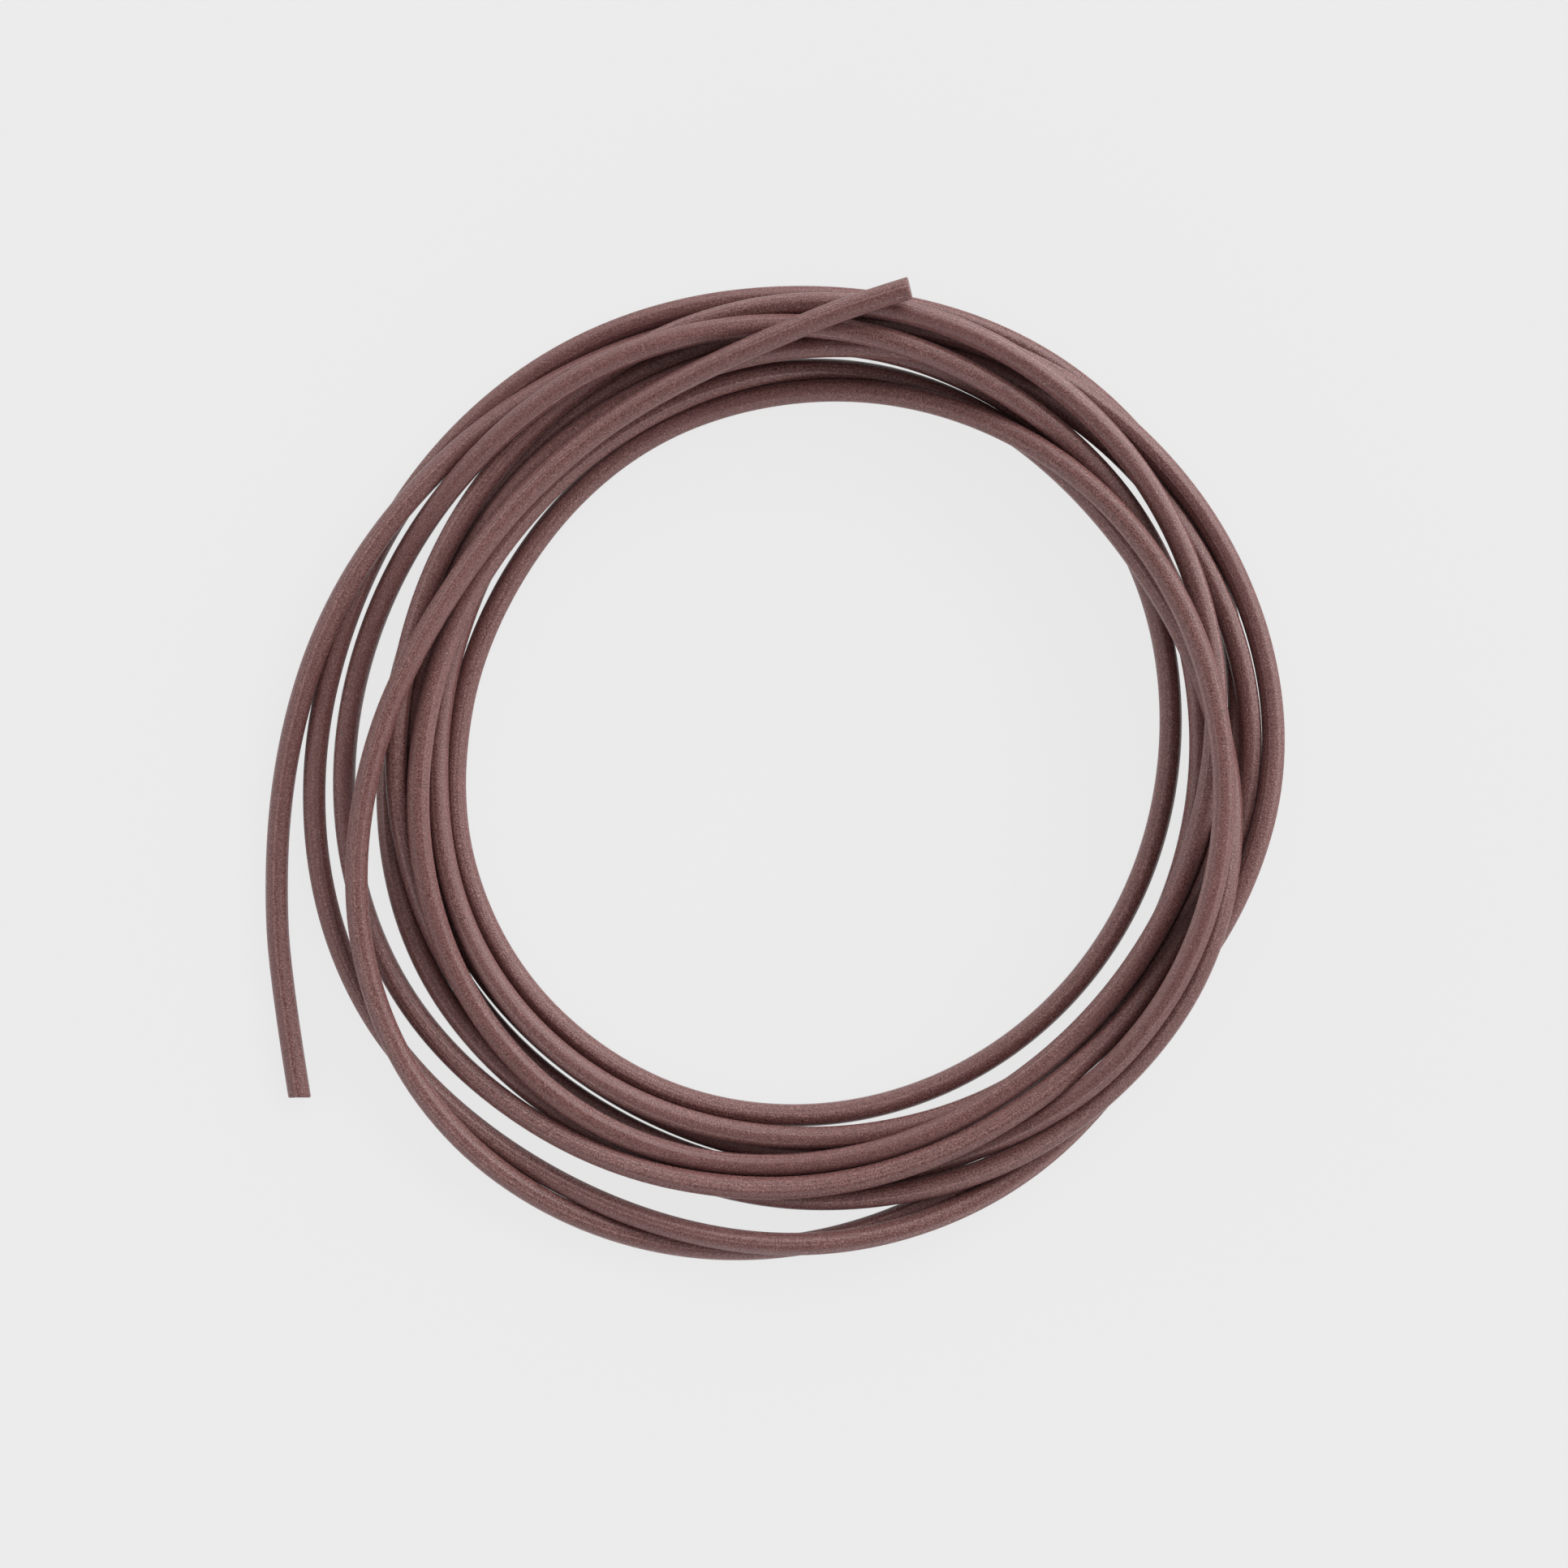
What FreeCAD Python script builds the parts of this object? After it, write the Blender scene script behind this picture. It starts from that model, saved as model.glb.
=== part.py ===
"""A plain round flexible cord, laid down as one loose round coil with both ends free.

Millimetres. +Z is up and the cord lies on the plane Z = 0. The origin is under the centre of the
whole object's box. Places round the coil are given as a clock angle, in degrees clockwise from +Y
as seen from above, and a radius from the coil's own centre.

Nodes:
  coil            the wound turns, as one closed solid of their outer shape
  lower_free_end  the end that leaves the coil at its outer rim and lies on the floor
  upper_free_end  the end that climbs onto the coil and lies across the top of the turns
"""
import FreeCAD, Part
import math
import os

# --- driving dimensions ---------------------------------------------------------------------
CORD_DIAMETER = 5.5
CORD_RADIUS = CORD_DIAMETER / 2
COIL_CENTRE = (7.76, 2.28)    # from the middle of the whole object's box
COIL_HEIGHT = 17.0            # about three cords, one on another, over the coil's centre
COIL_TOP_SLOPE = 0.045        # the turns lie closer, and so higher, towards +X
TOP_EDGE_ROUND = 5.0          # the turns at the rims lie lower than those in the middle
FLOOR_EDGE_ROUND = 2.0
FAR_OUTSIDE = 400.0           # a radius well beyond the whole coil, for the plane that cuts its top
IN_PLANE = 0.001              # an edge lies in a plane if each of its spots is this near to it
EDGE_SPOTS = 5
ARC_SHARE = 0.45              # of the shorter run, taken up by the arc at each point of a route

# Rims of the coil: (clock angle, radius)
OUTER_RIM = [
    (0, 116.6), (30, 117.0), (60, 117.0), (90, 117.6), (105, 114.6), (120, 112.8), (142, 113.4),
    (160, 118.6), (180, 122.4), (195, 126.6), (210, 129.0), (225, 128.4), (245, 127.2),
    (270, 124.4), (285, 124.0), (300, 121.0), (330, 118.8),
]
INNER_RIM = [
    (0, 87.6), (30, 91.2), (60, 92.0), (90, 86.2), (120, 83.8), (150, 83.7), (180, 85.1),
    (210, 86.6), (240, 86.5), (270, 84.2), (300, 82.8), (330, 85.0),
]

# Routes of the two free ends, from the tip inwards: (clock angle, radius, height of the cord's
# centre). Each ends inside the coil. The coil's solid takes over half-way along the join run, which
# is counted from 0 at the tip.
LOWER_ROUTE = [
    (236.3, 150.4, CORD_RADIUS), (247.5, 140.4, CORD_RADIUS), (259.5, 132.9, CORD_RADIUS),
    (272, 127.6, CORD_RADIUS), (284, 122.0, CORD_RADIUS),
]
LOWER_JOIN_RUN = 2
UPPER_ROUTE = [
    (12.2, 119.0, COIL_HEIGHT + CORD_RADIUS), (6, 112.2, COIL_HEIGHT + CORD_RADIUS + 0.4),
    (357, 105.0, COIL_HEIGHT + CORD_RADIUS), (346, 99.4, COIL_HEIGHT + 1.0),
    (334, 96.4, COIL_HEIGHT - CORD_RADIUS - 0.5),
]
UPPER_JOIN_RUN = 2


def place(clock_angle, radius, height=0.0):
    """The point at a clock angle and radius from the coil's centre."""
    turn = math.radians(clock_angle)
    x, y = COIL_CENTRE
    return FreeCAD.Vector(x + radius * math.sin(turn), y + radius * math.cos(turn), height)


def rim_face(rim):
    """A flat face on the floor, bounded by a smooth closed line through a rim's points."""
    line = Part.BSplineCurve()
    line.interpolate([place(angle, radius) for angle, radius in rim], PeriodicFlag=True)
    return Part.Face(Part.Wire([line.toShape()]))


def edges_in_plane(solid, point, normal):
    """The edges of a solid that lie in one plane."""
    return [edge for edge in solid.Edges
            if all(abs((spot - point).dot(normal)) < IN_PLANE for spot in edge.discretize(EDGE_SPOTS))]


def route_path(points):
    """Straight runs joined by tangent arcs, and the radius of each arc."""
    edges = []
    radii = []
    start = points[0]
    for before, corner, after in zip(points, points[1:], points[2:]):
        way_in = (corner - before).normalize()
        way_out = (after - corner).normalize()
        half_turn = way_in.getAngle(way_out) / 2
        cut = ARC_SHARE * min((corner - before).Length, (after - corner).Length)
        radius = cut / math.tan(half_turn)
        arc_start = corner - way_in * cut
        arc_end = corner + way_out * cut
        inwards = (way_out - way_in).normalize()
        arc_middle = corner + inwards * (radius / math.cos(half_turn) - radius)
        edges.append(Part.LineSegment(start, arc_start).toShape())
        edges.append(Part.Arc(arc_start, arc_middle, arc_end).toShape())
        radii.append(radius)
        start = arc_end
    edges.append(Part.LineSegment(start, points[-1]).toShape())
    return Part.Wire(edges), radii


def cord_tube(name, points):
    """A solid round tube of the cord's diameter along a route."""
    path, radii = route_path(points)
    direction = points[1] - points[0]
    section = Part.Wire([Part.Circle(points[0], direction, CORD_RADIUS).toShape()])
    tube = path.makePipeShell([section], True, False)
    expected = math.pi * CORD_RADIUS ** 2 * path.Length
    print(name, "length", round(path.Length, 1), "arc radii", [round(radius) for radius in radii],
          "volume / (section x length)", round(tube.Volume / expected, 4))
    return tube


def split_route(route, join_run):
    """The free part of a route, from its tip to the middle of one run, and the rest of it."""
    points = [place(*point) for point in route]
    join = (points[join_run] + points[join_run + 1]) * 0.5
    return points[:join_run + 1] + [join], [join] + points[join_run + 1:]


def coil_solid(entering_stretches):
    """The outer shape of the wound turns, with the stretch of cord that enters at each end."""
    ring = rim_face(OUTER_RIM).cut(rim_face(INNER_RIM)).Faces[0]
    solid = ring.extrude(FreeCAD.Vector(0, 0, 2 * COIL_HEIGHT))
    top = place(0, 0, COIL_HEIGHT)
    top_normal = FreeCAD.Vector(-COIL_TOP_SLOPE, 0, 1).normalize()
    above = Part.Face(Part.Wire([Part.Circle(top, top_normal, FAR_OUTSIDE).toShape()]))
    solid = solid.cut(above.extrude(top_normal * 2 * COIL_HEIGHT)).Solids[0]
    solid = solid.makeFillet(TOP_EDGE_ROUND, edges_in_plane(solid, top, top_normal))
    floor_normal = FreeCAD.Vector(0, 0, 1)
    solid = solid.makeFillet(FLOOR_EDGE_ROUND, edges_in_plane(solid, place(0, 0), floor_normal))
    for stretch in entering_stretches:
        solid = solid.fuse(stretch)
    return solid.Solids[0]


def main():
    os.makedirs("parts", exist_ok=True)
    lower_free, lower_entering = split_route(LOWER_ROUTE, LOWER_JOIN_RUN)
    upper_free, upper_entering = split_route(UPPER_ROUTE, UPPER_JOIN_RUN)
    nodes = {
        "coil": coil_solid([cord_tube("lower, in the coil", lower_entering),
                            cord_tube("upper, in the coil", upper_entering)]),
        "lower_free_end": cord_tube("lower_free_end", lower_free),
        "upper_free_end": cord_tube("upper_free_end", upper_free),
    }
    whole = Part.makeCompound(list(nodes.values())).BoundBox
    print("box", [round(size, 2) for size in (whole.XMin, whole.YMin, whole.ZMin,
                                              whole.XMax, whole.YMax, whole.ZMax)])
    for name, shape in nodes.items():
        print(name, "valid", shape.isValid(), "volume", round(shape.Volume))
        shape.exportStep("parts/" + name + ".step")


main()
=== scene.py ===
import math

import bpy
import numpy as np
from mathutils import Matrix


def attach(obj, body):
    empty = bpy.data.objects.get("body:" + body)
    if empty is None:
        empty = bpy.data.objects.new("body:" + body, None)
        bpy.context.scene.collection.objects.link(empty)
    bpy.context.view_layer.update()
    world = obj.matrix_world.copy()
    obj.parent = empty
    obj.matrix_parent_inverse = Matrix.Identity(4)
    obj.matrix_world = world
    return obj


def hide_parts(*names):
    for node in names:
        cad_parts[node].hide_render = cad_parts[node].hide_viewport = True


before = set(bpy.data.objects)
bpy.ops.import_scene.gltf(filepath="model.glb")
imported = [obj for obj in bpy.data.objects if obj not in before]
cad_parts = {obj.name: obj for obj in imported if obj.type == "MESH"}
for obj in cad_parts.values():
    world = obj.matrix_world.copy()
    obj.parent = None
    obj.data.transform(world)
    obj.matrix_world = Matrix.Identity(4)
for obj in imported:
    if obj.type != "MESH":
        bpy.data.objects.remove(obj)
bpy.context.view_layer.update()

# --- sizes, in millimetres unless a name says otherwise ------------------------------------
MM = 0.001
CORD_DIAMETER = 5.5
COIL_CENTRE = (7.76, 2.28)
EYE = (1.9, -3.9, 1000.0)       # the camera looks straight down from here
VIEW_WIDTH = 386.4              # what the picture spans on the floor

# Places round the coil are clock angles: degrees clockwise from +Y, seen from above. A turn runs
# from one clock angle of 180 to the next, so past +Y its clock angles go on beyond 360.
FULL_TURN = 360
STATION = 30                    # clock angle between two places whose radius is given
LOWER_TIP_CLOCK = 236.3
UPPER_TIP_CLOCK = 372.2

# Seen radius of each turn at every station, from the lower end's tip to the upper end's tip.
# What lies nearer the eye looks further out, and plan_radius() takes that away. The first turn
# begins at the lower tip, the last one ends at the upper tip, and every other one begins at 180.
TURN_RADII = [
    (150.5, 146.8, 128.2, 118.0, 111.0, 107.7, 102.2, 99.4, 100.7, 99.8, 98.2),
    (97.3, 94.8, 95.9, 96.8, 97.5, 98.5, 101.7, 106.2, 108.4, 108.9, 106.3, 113.8),
    (119.5, 120.9, 124.5, 121.3, 117.8, 116.2, 113.8, 114.3, 111.2, 106.0, 101.8, 101.2),
    (105.4, 110.4, 115.4, 114.1, 110.9, 109.4, 106.6, 102.3, 99.5, 96.7, 96.1, 95.2),
    (93.4, 94.4, 94.2, 91.3, 92.4, 97.8, 102.3, 100.7, 94.7, 89.0, 86.5, 86.3),
    (87.8, 89.4, 89.2, 87.1, 85.4, 87.8, 90.7, 94.4, 98.5, 102.3, 106.1, 105.9),
    (103.3, 101.3, 101.6, 101.3, 103.2, 107.7, 112.2, 111.0, 106.0, 99.9, 95.4, 95.4),
    (99.7, 103.6, 101.0, 95.5, 92.4, 92.8, 95.7, 95.1, 95.0, 103.0, 109.9, 109.8),
    (108.4, 106.3, 107.1, 103.3, 101.7, 103.0, 106.4, 111.8, 114.2, 114.4, 107.4, 108.6),
    (119.2, 126.4, 122.2, 107.1, 96.1, 96.2, 107.4, 118.8),
]

# Which turn lies on which. The turn on top: [(the turn beneath it, from, to), ...]
OVER = {
    10: [(3, 210, 252), (4, 238, 270), (9, 255, 305), (7, 258, 318), (8, 262, 350), (2, 270, 376),
         (5, 275, 372), (1, 335, 372), (4, 335, 372), (9, 335, 372), (7, 340, 376), (3, 345, 376)],
    9: [(7, 180, 226), (5, 325, 372), (1, 340, 390), (2, 376, 512), (3, 368, 450)],
    8: [(7, 180, 290), (2, 180, 312), (9, 192, 270), (5, 180, 350), (6, 300, 350), (5, 392, 440),
        (4, 412, 450), (1, 412, 470), (3, 440, 480), (2, 442, 520), (9, 448, 540), (6, 523, 540)],
    7: [(2, 228, 310), (9, 228, 420), (1, 325, 385), (3, 325, 462), (2, 370, 440), (8, 435, 460),
        (4, 425, 540), (1, 424, 540), (6, 530, 540)],
    6: [(8, 355, 507), (5, 390, 440), (4, 400, 450), (1, 396, 480), (7, 420, 475), (3, 438, 502),
        (2, 450, 512), (9, 455, 530)],
    5: [(6, 180, 310), (2, 180, 268), (1, 360, 425)],
    4: [(9, 180, 235), (7, 180, 205), (8, 180, 212), (1, 296, 540), (7, 300, 362), (9, 318, 385),
        (5, 335, 432), (2, 340, 400)],
    3: [(10, 180, 209), (6, 498, 540), (7, 465, 540), (1, 450, 540), (4, 470, 525), (8, 520, 540)],
    2: [(9, 266, 372), (5, 269, 400), (8, 335, 372), (1, 360, 420), (3, 408, 476), (9, 513, 540)],
    1: [(3, 262, 350)],
}

# --- how the cord settles -------------------------------------------------------------------
STEP = 4.5                      # clock angle between two places at which the turns are settled
STEPS_PER_TURN = round(FULL_TURN / STEP)
POINT_EVERY = 2                 # steps between two points of the spline
CORD_STIFFNESS = 25.0           # against its own weight: how long its humps are
CONTACT_STIFFNESS = 500.0
FLOOR_STIFFNESS = 5000.0
HOLD = 0.01                     # pulls each place a little towards where it was, so a free one is steady
HEIGHT_SHARE = 0.6              # of each new answer for the heights that is taken over
PRESS_SHARE = 0.25              # of an overlap, by which each of two turns moves aside in one round
PRESS_SPREAD = (1, 2, 3, 2, 1)  # how a sideways move is shared with the places near it
NEVER_ZERO = 1e-6
SETTLING_ROUNDS = 3
HEIGHT_ROUNDS = 24
SPREAD_ROUNDS = 30


def smooth_line(stations, values):
    """A natural cubic line through values at stations, as a function of place."""
    stations = np.array(stations, float)
    values = np.array(values, float)
    gap = np.diff(stations)
    slope = np.diff(values) / gap
    system = np.eye(len(stations))
    load = np.zeros(len(stations))
    for i in range(1, len(stations) - 1):
        system[i, i - 1:i + 2] = gap[i - 1], 2 * (gap[i - 1] + gap[i]), gap[i]
        load[i] = 6 * (slope[i] - slope[i - 1])
    bend = np.linalg.solve(system, load)

    def at(place):
        i = np.clip(np.searchsorted(stations, place) - 1, 0, len(gap) - 1)
        left = place - stations[i]
        right = stations[i + 1] - place
        return ((bend[i] * right ** 3 + bend[i + 1] * left ** 3) / (6 * gap[i])
                + (values[i] / gap[i] - bend[i] * gap[i] / 6) * right
                + (values[i + 1] / gap[i] - bend[i + 1] * gap[i] / 6) * left)

    return at


def seen_radius_line():
    """The seen radius as one smooth line along the whole cord."""
    radii = [radius for turn in TURN_RADII for radius in turn]
    first = STATION * math.ceil(LOWER_TIP_CLOCK / STATION)
    inner = [first + STATION * i for i in range(len(radii) - 2)]
    last = (len(TURN_RADII) - 1) * FULL_TURN + UPPER_TIP_CLOCK
    return smooth_line([LOWER_TIP_CLOCK] + inner + [last], radii)


class Cord:
    """The whole cord as places, one every STEP round the coil, each with a radius and a height."""

    def __init__(self):
        last = (len(TURN_RADII) - 1) * FULL_TURN + UPPER_TIP_CLOCK
        self.first_step = round(LOWER_TIP_CLOCK / STEP)
        self.clock = STEP * np.arange(self.first_step, round(last / STEP) + 1).astype(float)
        self.clock[0] = LOWER_TIP_CLOCK
        self.clock[-1] = last
        self.seen = seen_radius_line()(self.clock)
        self.radius = self.seen.copy()
        self.height = np.full(len(self.clock), CORD_DIAMETER / 2)
        self.push = np.zeros(len(self.clock))
        self.upper, self.lower = self.crossings()

    def index(self, turn, step):
        return (turn - 1) * STEPS_PER_TURN + step - self.first_step

    def crossings(self):
        """Indexes of every two places at one clock angle of which one lies above the other."""
        upper = []
        lower = []
        for turn, rows in OVER.items():
            for beneath, start, end in rows:
                for step in range(math.ceil(start / STEP), math.floor(end / STEP) + 1):
                    pair = self.index(turn, step), self.index(beneath, step)
                    if min(pair) >= 0 and max(pair) < len(self.clock):
                        upper.append(pair[0])
                        lower.append(pair[1])
        return np.array(upper), np.array(lower)

    def plan_radius(self):
        """The real radius of what is seen at a radius from the eye, plus what contact adds."""
        turn = np.radians(self.clock)
        eye_x = EYE[0] - COIL_CENTRE[0]
        eye_y = EYE[1] - COIL_CENTRE[1]
        outwards = eye_x * np.sin(turn) + eye_y * np.cos(turn)
        nearer = self.height / EYE[2]
        return self.seen - (self.seen - outwards) * nearer + self.push

    def lean(self):
        """The cosine of the angle between the cord and a true circle."""
        slope = np.gradient(self.radius, np.radians(self.clock)) / self.radius
        return 1 / np.sqrt(1 + slope ** 2)

    def settle_heights(self):
        """Gravity, the cord's stiffness, the floor and the turns beneath, in balance."""
        count = len(self.clock)
        bend = np.diff(np.eye(count), 2, axis=0)
        stiffness = CORD_STIFFNESS * bend.T @ bend
        lean = self.lean()
        apart = self.radius[self.upper] - self.radius[self.lower]
        apart = apart * (lean[self.upper] + lean[self.lower]) / 2
        near = np.abs(apart) < CORD_DIAMETER
        upper = self.upper[near]
        lower = self.lower[near]
        needed = np.sqrt(CORD_DIAMETER ** 2 - apart[near] ** 2)
        floor = CORD_DIAMETER / 2
        for _ in range(HEIGHT_ROUNDS):
            system = stiffness.copy()
            load = -np.ones(count)
            touching = self.height[upper] - self.height[lower] < needed
            high = upper[touching]
            low = lower[touching]
            np.add.at(system, (high, high), CONTACT_STIFFNESS)
            np.add.at(system, (low, low), CONTACT_STIFFNESS)
            np.add.at(system, (high, low), -CONTACT_STIFFNESS)
            np.add.at(system, (low, high), -CONTACT_STIFFNESS)
            np.add.at(load, high, CONTACT_STIFFNESS * needed[touching])
            np.add.at(load, low, -CONTACT_STIFFNESS * needed[touching])
            on_floor = np.where(self.height < floor)[0]
            system[on_floor, on_floor] += FLOOR_STIFFNESS
            load[on_floor] += FLOOR_STIFFNESS * floor
            system[np.arange(count), np.arange(count)] += HOLD
            load += HOLD * self.height
            balanced = np.linalg.solve(system, load)
            self.height = (1 - HEIGHT_SHARE) * self.height + HEIGHT_SHARE * balanced

    def spread(self):
        """Turns side by side that press into each other move apart."""
        count = len(self.clock)
        lean = self.lean()
        kernel = np.array(PRESS_SPREAD) / sum(PRESS_SPREAD)
        for _ in range(SPREAD_ROUNDS):
            move = np.zeros(count)
            for turns in range(1, len(TURN_RADII)):
                a = np.arange(0, count - turns * STEPS_PER_TURN)
                b = a + turns * STEPS_PER_TURN
                apart = (self.radius[b] - self.radius[a]) * (lean[a] + lean[b]) / 2
                rise = self.height[b] - self.height[a]
                distance = np.hypot(apart, rise)
                press = np.clip(CORD_DIAMETER - distance, 0, None)
                sideways = PRESS_SHARE * press * apart / np.maximum(distance, NEVER_ZERO)
                move[a] -= sideways
                move[b] += sideways
            move = np.convolve(move, kernel, mode="same")
            self.push += move
            self.radius += move

    def settle(self):
        for _ in range(SETTLING_ROUNDS):
            self.radius = self.plan_radius()
            self.settle_heights()
            self.radius = self.plan_radius()
            self.spread()

    def places(self):
        """The cord's centre line in metres, one row for each place."""
        turn = np.radians(self.clock)
        x = COIL_CENTRE[0] + self.radius * np.sin(turn)
        y = COIL_CENTRE[1] + self.radius * np.cos(turn)
        return np.stack([x, y, self.height], axis=1) * MM


def spline_points(places):
    """Control points of a spline that passes through every POINT_EVERY-th place."""
    chosen = places[::POINT_EVERY]
    if (len(places) - 1) % POINT_EVERY:
        chosen = np.vstack([chosen, places[-1]])
    points = chosen.copy()
    # A quadratic spline cuts inside its points by an eighth of their second difference.
    points[1:-1] -= np.diff(chosen, 2, axis=0) / 8
    return points


def cord_path(points):
    """Points read along the NURBS spline that has these control points."""
    data = bpy.data.curves.new("cord_line", "CURVE")
    data.dimensions = "3D"
    data.resolution_u = PATH_RESOLUTION
    spline = data.splines.new("NURBS")
    spline.points.add(len(points) - 1)
    for point, place in zip(spline.points, points):
        point.co = (*place, 1)
    spline.order_u = 3
    spline.use_endpoint_u = True
    line = bpy.data.objects.new("cord_line", data)
    bpy.context.scene.collection.objects.link(line)
    bpy.context.view_layer.update()
    evaluated = bpy.data.meshes.new_from_object(line)
    path = np.array([vertex.co for vertex in evaluated.vertices])
    bpy.data.objects.remove(line)
    return path


# --- colours and light ----------------------------------------------------------------------
BROWN_DARK = (0.070, 0.024, 0.021, 1)
BROWN_MIDDLE = (0.135, 0.055, 0.050, 1)
BROWN_LIGHT = (0.300, 0.140, 0.129, 1)
BROWN_WARM = (0.145, 0.060, 0.060, 1)
# Pale bloom colour. The same colour also paints highlight lines along the cord.
BROWN_BLOOM_AND_HIGHLIGHT = (0.330, 0.200, 0.190, 1)
GRAIN = 2600.0                  # grains to the metre
SPECKS = 400.0                  # cells to the metre, of which one in five has a speck
SPECK_COLOUR = (0.62, 0.54, 0.50, 1)
# Patterns on the skin, as noise scales: along the cord, and twice across its section.
DRAWN_LINES = (0.05, 3.5, 3.5)
FINE_LINES = (0.5, 11.0, 11.0)
DRIFT = (0.25, 0.8, 0.8)
MOTTLE = 0.35 * GRAIN
# Each noise's detail and roughness.
DRAWN_DETAIL = (3.0, 0.6)
FINE_DETAIL = (3.0, 0.7)
GRAIN_DETAIL = (2.0, 0.6)
# What a pattern does: its low and high value, and what they become.
GRAIN_TO_LIGHT = (0.40, 0.72, 0.0, 1.0)
MOTTLE_TO_MIDDLE = (0.40, 0.65, 0.0, 0.5)
DRIFT_TO_WARM = (0.35, 0.65, 0.0, 0.4)
FINE_TO_BLOOM = (0.55, 0.70, 0.0, 0.15)
# Pale lines along the cord: partly real drawn lines and wear, partly painted highlight lines.
DRAWN_TO_PALE_LINE_AND_HIGHLIGHT = (0.56, 0.62, 0.0, 1.0)
GRAIN_TO_PALE_LINE_AND_HIGHLIGHT = (0.40, 0.60, 0.10, 0.55)
GRAIN_TO_BLOOM = (0.60, 0.72, 0.0, 0.4)
SPECK_CHOICE = (0.80, 0.81, 0.0, 1.0)
SPECK_SIZE = (0.03, 0.08, 0.7, 0.0)
GRAIN_TO_ROUGH = (0.3, 0.7, 0.25, 0.37)
DRAWN_TO_ROUGH = (0.35, 0.65, -0.03, 0.05)
# The bump's height is their weighted sum.
DRAWN_HEIGHT = 0.6
FINE_HEIGHT = 0.12
GRAIN_HEIGHT = 0.9
BUMP_METRES = 0.00018
CORD_IOR = 1.48
SHEEN = 0.05
SHEEN_ROUGHNESS = 0.3
SHEEN_TINT = (0.86, 0.80, 0.95, 1)
FLOOR_COLOUR = (0.06, 0.06, 0.06, 1)
FLOOR_GLOW = 0.768
FLOOR_HALF_WIDTH = 3.0          # metres
# The studio is a pale tent: dim overhead, with a bright band round its sides and one soft window.
# Heights in it are sines of the elevation.
TENT_TOP = 0.36
TENT_FOOT = 0.88
TENT_BAND = 2.35
BAND_BOTTOM = (0.10, 0.28)      # where the band fades in, and where it has its full brightness
BAND_TOP = (0.42, 0.62)
TENT_BRIGHT_CLOCK = 45
TENT_UNEVEN = 0.12
WINDOW_GLOW = 3.4
WINDOW_HEIGHT = 0.40
WINDOW_EDGE = (0.80, 0.97)      # cosines of the angle from its middle

# --- the cord's surface ---------------------------------------------------------------------
PATH_RESOLUTION = 6
SIDES = 60
OVAL = 0.008                    # how much wider than round the section is, as a share
# Low drawn ridges: (degrees round the section, height, width in degrees).
RIDGES = ((72, 0.065, 10), (128, 0.060, 8), (176, 0.060, 9), (224, 0.065, 9), (282, 0.065, 10))
# The section turns to and fro along the cord in waves: (radians, waves in 2 pi metres, start).
TWISTS = ((0.35, 3.1, 0), (0.14, 8.3, 1))
END_BEVEL = 0.25
RIM = 1.6                       # from a cut end to the next ring of the surface
# Each cut end: how far off square across the cord, in degrees, and how far its middle is drawn in.
LOWER_CUT = (8, 0.25)
UPPER_CUT = (-3, 0.05)


def section(angle, along):
    """The section's radius in metres at an angle round it, some way along the cord."""
    turned = angle - sum(far * np.sin(along * rate + start) for far, rate, start in TWISTS)
    radius = CORD_DIAMETER / 2 * (1 + OVAL * np.cos(2 * turned))
    for place, height, width in RIDGES:
        away = (turned - math.radians(place) + np.pi) % (2 * np.pi) - np.pi
        radius += height * np.exp(-(away / math.radians(width)) ** 2)
    return radius * MM


def cut_end(ring, middle, outwards, side, cut):
    """Moves a ring of the surface along the cord, so that its plane is the cut's."""
    slant, hollow = cut
    across = (ring - middle) @ side
    share = across / (CORD_DIAMETER / 2 * MM)
    drawn_in = hollow * MM * (share ** 2 - 1)
    return ring + (across * math.tan(math.radians(slant)) + drawn_in)[:, None] * outwards


def cord_rings(path):
    """Rings of the surface's points, and how far along the cord each of them is, in metres."""
    along = np.concatenate([[0], np.cumsum(np.linalg.norm(np.diff(path, axis=0), axis=1))])
    # One more ring close to each end keeps the shading of the cut's rim on the rim.
    places = np.concatenate([[0, RIM * MM], along[1:-1], [along[-1] - RIM * MM, along[-1]]])
    centre = np.stack([np.interp(places, along, path[:, axis]) for axis in range(3)], axis=1)
    tangent = np.stack([np.interp(places, along, column)
                        for column in np.gradient(path, along, axis=0).T], axis=1)
    tangent /= np.linalg.norm(tangent, axis=1)[:, None]
    side = np.cross(tangent, (0, 0, 1))
    side /= np.linalg.norm(side, axis=1)[:, None]
    up = np.cross(side, tangent)
    # Angle 0 is the underside, where the UV map's two edges meet.
    angle = np.arange(SIDES) * 2 * np.pi / SIDES
    radius = section(angle[None, :], places[:, None])
    ring = (-radius * np.sin(angle))[:, :, None] * side[:, None, :]
    ring += (-radius * np.cos(angle))[:, :, None] * up[:, None, :]
    rings = centre[:, None, :] + ring
    # The rim of each cut end is eased a little, on a ring of its own.
    bevel = END_BEVEL * MM
    first = centre[0] + ring[0] * (1 - bevel / radius[0][:, None])
    last = centre[-1] + ring[-1] * (1 - bevel / radius[-1][:, None])
    rings[0] += tangent[0] * bevel
    rings[-1] -= tangent[-1] * bevel
    first = cut_end(first, centre[0], -tangent[0], side[0], LOWER_CUT)
    rings[0] = cut_end(rings[0], centre[0], -tangent[0], side[0], LOWER_CUT)
    last = cut_end(last, centre[-1], tangent[-1], side[-1], UPPER_CUT)
    rings[-1] = cut_end(rings[-1], centre[-1], tangent[-1], side[-1], UPPER_CUT)
    lengths = np.concatenate([[0], places, [places[-1]]])
    return np.concatenate([first[None], rings, last[None]]), lengths


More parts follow.
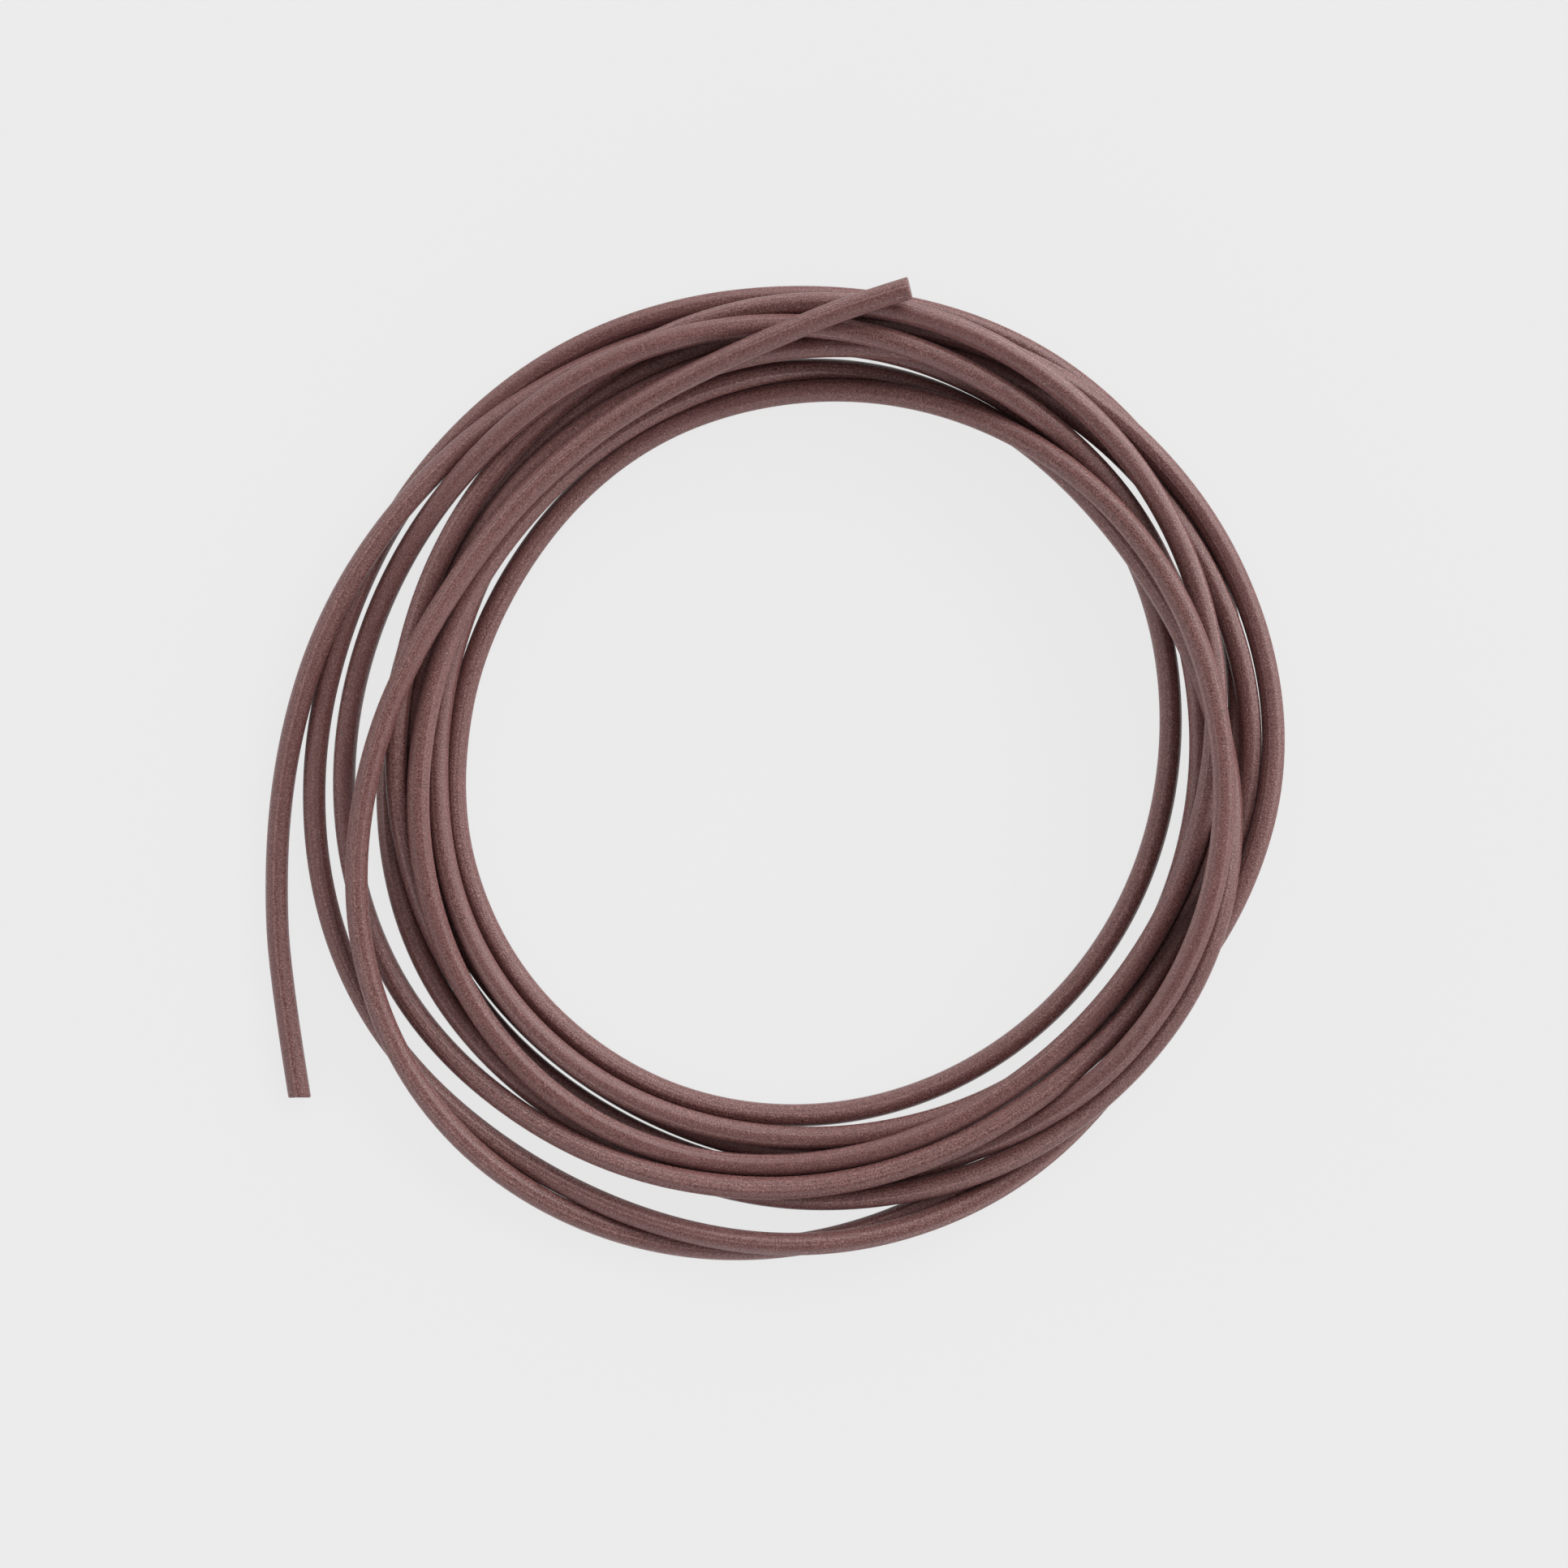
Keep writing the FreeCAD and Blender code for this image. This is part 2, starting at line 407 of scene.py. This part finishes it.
def cord_mesh(path):
    """A closed tube along the path, with its length and its angle round as the UV map."""
    steps = np.linalg.norm(np.diff(path, axis=0), axis=1)
    path = path[np.concatenate([[True], steps > NEVER_ZERO])]
    rings, lengths = cord_rings(path)
    count = len(rings)
    cut_middles = [rings[0].mean(axis=0), rings[-1].mean(axis=0)]
    vertices = np.concatenate([rings.reshape(-1, 3), cut_middles])
    girth = math.pi * CORD_DIAMETER * MM
    faces = []
    places = []
    for i in range(count - 1):
        near = lengths[i] / girth
        far = lengths[i + 1] / girth
        for j in range(SIDES):
            k = (j + 1) % SIDES
            faces.append((i * SIDES + j, i * SIDES + k, (i + 1) * SIDES + k, (i + 1) * SIDES + j))
            left = j / SIDES
            right = (j + 1) / SIDES
            places += [(near, left), (near, right), (far, right), (far, left)]
    tube_faces = len(faces)
    for j in range(SIDES):
        k = (j + 1) % SIDES
        faces.append((count * SIDES, k, j))
        faces.append((count * SIDES + 1, (count - 1) * SIDES + j, (count - 1) * SIDES + k))
        first = lengths[0] / girth
        last = lengths[-1] / girth
        places += [(first, 0.5), (first, (j + 1) / SIDES), (first, j / SIDES)]
        places += [(last, 0.5), (last, j / SIDES), (last, (j + 1) / SIDES)]
    mesh = bpy.data.meshes.new("cord")
    mesh.from_pydata(vertices.tolist(), [], faces)
    layer = mesh.uv_layers.new(name="UVMap")
    layer.data.foreach_set("uv", np.array(places).ravel())
    smooth = np.arange(len(faces)) < tube_faces
    mesh.polygons.foreach_set("use_smooth", smooth)
    mesh.update()
    return mesh, path


# --- materials ------------------------------------------------------------------------------
class Nodes:
    """Adds nodes to a material and joins them, one call for each node."""

    def __init__(self, name):
        self.material = bpy.data.materials.new(name)
        self.material.use_nodes = True
        self.tree = self.material.node_tree
        self.shader = self.tree.nodes["Principled BSDF"]

    def plug(self, target, value):
        """Joins an output to an input socket, or sets the socket to a plain value."""
        if isinstance(value, bpy.types.NodeSocket):
            self.tree.links.new(value, target)
        else:
            target.default_value = value

    def add(self, kind, output=0, settings=None, **inputs):
        """A node of one kind, with settings and inputs by name, and one of its outputs."""
        node = self.tree.nodes.new("ShaderNode" + kind)
        for name, value in (settings or {}).items():
            setattr(node, name, value)
        for name, value in inputs.items():
            key = int(name[1:]) if name[1:].isdigit() else name.replace("_", " ")
            self.plug(node.inputs[key], value)
        return node.outputs[output]

    def math(self, operation, a, b=0.0):
        return self.add("Math", settings={"operation": operation}, i0=a, i1=b)

    def noise(self, vector, scale, detail=2.0, roughness=0.5):
        return self.add("TexNoise", Vector=vector, Scale=scale, Detail=detail, Roughness=roughness)

    def scaled(self, vector, scale):
        return self.add("Mapping", Vector=vector, Scale=scale)

    def remap(self, value, low, high, to_low, to_high):
        """What a value between low and high becomes, between to_low and to_high."""
        return self.add("MapRange", i0=value, i1=low, i2=high, i3=to_low, i4=to_high)

    def mix(self, factor, a, b):
        return self.add("Mix", 2, {"data_type": "RGBA"}, i0=factor, i6=a, i7=b)


def skin_coordinates(nodes):
    """Places on the skin with no seam: girths along the cord, and a point on a unit circle."""
    uv = nodes.add("UVMap", settings={"uv_map": "UVMap"})
    along = nodes.add("SeparateXYZ", 0, Vector=uv)
    around = nodes.add("SeparateXYZ", 1, Vector=uv)
    angle = nodes.math("MULTIPLY", around, 2 * math.pi)
    across = nodes.math("COSINE", angle)
    height = nodes.math("SINE", angle)
    return nodes.add("CombineXYZ", X=along, Y=across, Z=height)


def cord_material():
    """Matte brown extruded rubber-like plastic: fine grain, pale drawn lines that are partly real wear
    and partly painted highlight lines, dust and pale specks.
    """
    nodes = Nodes("cord_brown")
    skin = skin_coordinates(nodes)
    place = nodes.add("TexCoord", 3)
    drawn = nodes.noise(nodes.scaled(skin, DRAWN_LINES), 1.0, *DRAWN_DETAIL)
    fine_lines = nodes.noise(nodes.scaled(skin, FINE_LINES), 1.0, *FINE_DETAIL)
    grain = nodes.noise(place, GRAIN, *GRAIN_DETAIL)
    mottle = nodes.noise(place, MOTTLE, *GRAIN_DETAIL)
    drift = nodes.noise(nodes.scaled(skin, DRIFT), 1.0)

    brown = nodes.mix(nodes.remap(grain, *GRAIN_TO_LIGHT), BROWN_DARK, BROWN_LIGHT)
    brown = nodes.mix(nodes.remap(mottle, *MOTTLE_TO_MIDDLE), brown, BROWN_MIDDLE)
    brown = nodes.mix(nodes.remap(drift, *DRIFT_TO_WARM), brown, BROWN_WARM)
    brown = nodes.mix(nodes.remap(fine_lines, *FINE_TO_BLOOM), brown, BROWN_BLOOM_AND_HIGHLIGHT)
    # Pale streaks along the cord: partly real wear, partly painted highlight lines that stand in for the
    # light along each strand.
    pale_lines_and_painted_highlight = nodes.math("MULTIPLY", nodes.remap(drawn, *DRAWN_TO_PALE_LINE_AND_HIGHLIGHT),
                         nodes.remap(grain, *GRAIN_TO_PALE_LINE_AND_HIGHLIGHT))
    brown = nodes.mix(pale_lines_and_painted_highlight, brown, BROWN_BLOOM_AND_HIGHLIGHT)
    brown = nodes.mix(nodes.remap(grain, *GRAIN_TO_BLOOM), brown, BROWN_BLOOM_AND_HIGHLIGHT)

    cells = {"feature": "F1", "distance": "EUCLIDEAN"}
    from_middle = nodes.add("TexVoronoi", 0, cells, Vector=place, Scale=SPECKS)
    cell_colour = nodes.add("TexVoronoi", 1, cells, Vector=place, Scale=SPECKS)
    lot = nodes.add("SeparateColor", 0, Color=cell_colour)
    chosen = nodes.remap(lot, *SPECK_CHOICE)
    speck = nodes.math("MULTIPLY", nodes.remap(from_middle, *SPECK_SIZE), chosen)
    brown = nodes.mix(speck, brown, SPECK_COLOUR)

    rough = nodes.math("ADD", nodes.remap(grain, *GRAIN_TO_ROUGH),
                       nodes.remap(drawn, *DRAWN_TO_ROUGH))
    height = nodes.math("ADD", nodes.math("MULTIPLY", drawn, DRAWN_HEIGHT),
                        nodes.math("MULTIPLY", fine_lines, FINE_HEIGHT))
    height = nodes.math("ADD", height, nodes.math("MULTIPLY", grain, GRAIN_HEIGHT))
    bump = nodes.add("Bump", 0, Height=height, Strength=1.0, Distance=BUMP_METRES)

    shader = nodes.shader.inputs
    nodes.plug(shader["Base Color"], brown)
    nodes.plug(shader["Roughness"], rough)
    nodes.plug(shader["Normal"], bump)
    shader["IOR"].default_value = CORD_IOR
    shader["Sheen Weight"].default_value = SHEEN
    shader["Sheen Roughness"].default_value = SHEEN_ROUGHNESS
    shader["Sheen Tint"].default_value = SHEEN_TINT
    return nodes.material


def floor_material():
    """A pale floor, lit from within so that shadows on it stay faint."""
    nodes = Nodes("pale_floor")
    shader = nodes.shader.inputs
    shader["Base Color"].default_value = FLOOR_COLOUR
    shader["Roughness"].default_value = 1.0
    shader["Specular IOR Level"].default_value = 0.0
    shader["Emission Color"].default_value = (1, 1, 1, 1)
    shader["Emission Strength"].default_value = FLOOR_GLOW
    return nodes.material


# --- the scene ------------------------------------------------------------------------------
def add_camera():
    data = bpy.data.cameras.new("camera")
    data.sensor_fit = "HORIZONTAL"
    data.angle = 2 * math.atan(VIEW_WIDTH / 2 / EYE[2])
    camera = bpy.data.objects.new("camera", data)
    camera.location = [value * MM for value in EYE]
    bpy.context.scene.collection.objects.link(camera)
    bpy.context.scene.camera = camera


def add_floor():
    far = FLOOR_HALF_WIDTH
    mesh = bpy.data.meshes.new("floor")
    corners = [(-far, -far, 0), (far, -far, 0), (far, far, 0), (-far, far, 0)]
    mesh.from_pydata(corners, [], [(0, 1, 2, 3)])
    floor = bpy.data.objects.new("floor", mesh)
    floor.data.materials.append(floor_material())
    bpy.context.scene.collection.objects.link(floor)


def add_tent():
    """The light of a pale tent round the cord, from the direction alone."""
    world = bpy.data.worlds.new("tent")
    world.use_nodes = True
    tree = world.node_tree
    background = tree.nodes["Background"]
    place = tree.nodes.new("ShaderNodeTexCoord").outputs["Generated"]

    def along(x, y, z):
        node = tree.nodes.new("ShaderNodeVectorMath")
        node.operation = "DOT_PRODUCT"
        node.inputs[1].default_value = (x, y, z)
        tree.links.new(place, node.inputs[0])
        return node.outputs["Value"]

    def remap(value, low, high, to_low, to_high):
        node = tree.nodes.new("ShaderNodeMapRange")
        node.interpolation_type = "SMOOTHSTEP"
        for socket, number in zip(list(node.inputs)[1:5], (low, high, to_low, to_high)):
            socket.default_value = number
        tree.links.new(value, node.inputs[0])
        return node.outputs[0]

    clock = math.radians(TENT_BRIGHT_CLOCK)
    up = along(0, 0, 1)
    band = remap(up, *BAND_BOTTOM, TENT_FOOT, TENT_BAND)
    fade = remap(up, *BAND_TOP, 1, TENT_TOP / TENT_BAND)
    towards = along(math.sin(clock), math.cos(clock), 0)
    side = remap(towards, -1, 1, 1 - TENT_UNEVEN, 1 + TENT_UNEVEN)
    flat = math.sqrt(1 - WINDOW_HEIGHT ** 2)
    aim = (flat * math.sin(clock), flat * math.cos(clock), WINDOW_HEIGHT)
    window = remap(along(*aim), *WINDOW_EDGE, 0, WINDOW_GLOW)

    def join(operation, a, b):
        node = tree.nodes.new("ShaderNodeMath")
        node.operation = operation
        tree.links.new(a, node.inputs[0])
        tree.links.new(b, node.inputs[1])
        return node.outputs[0]

    strength = join("ADD", join("MULTIPLY", join("MULTIPLY", band, fade), side), window)
    tree.links.new(strength, background.inputs["Strength"])
    background.inputs["Color"].default_value = (1, 1, 1, 1)
    bpy.context.scene.world = world


def add_cord():
    cord = Cord()
    cord.settle()
    mesh, path = cord_mesh(cord_path(spline_points(cord.places())))
    piece = bpy.data.objects.new("cord", mesh)
    bpy.context.scene.collection.objects.link(piece)
    mesh.materials.append(cord_material())
    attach(piece, "root")
    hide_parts("coil", "lower_free_end", "upper_free_end")


add_camera()
add_cord()
add_floor()
add_tent()
bpy.context.scene.view_settings.view_transform = "Standard"
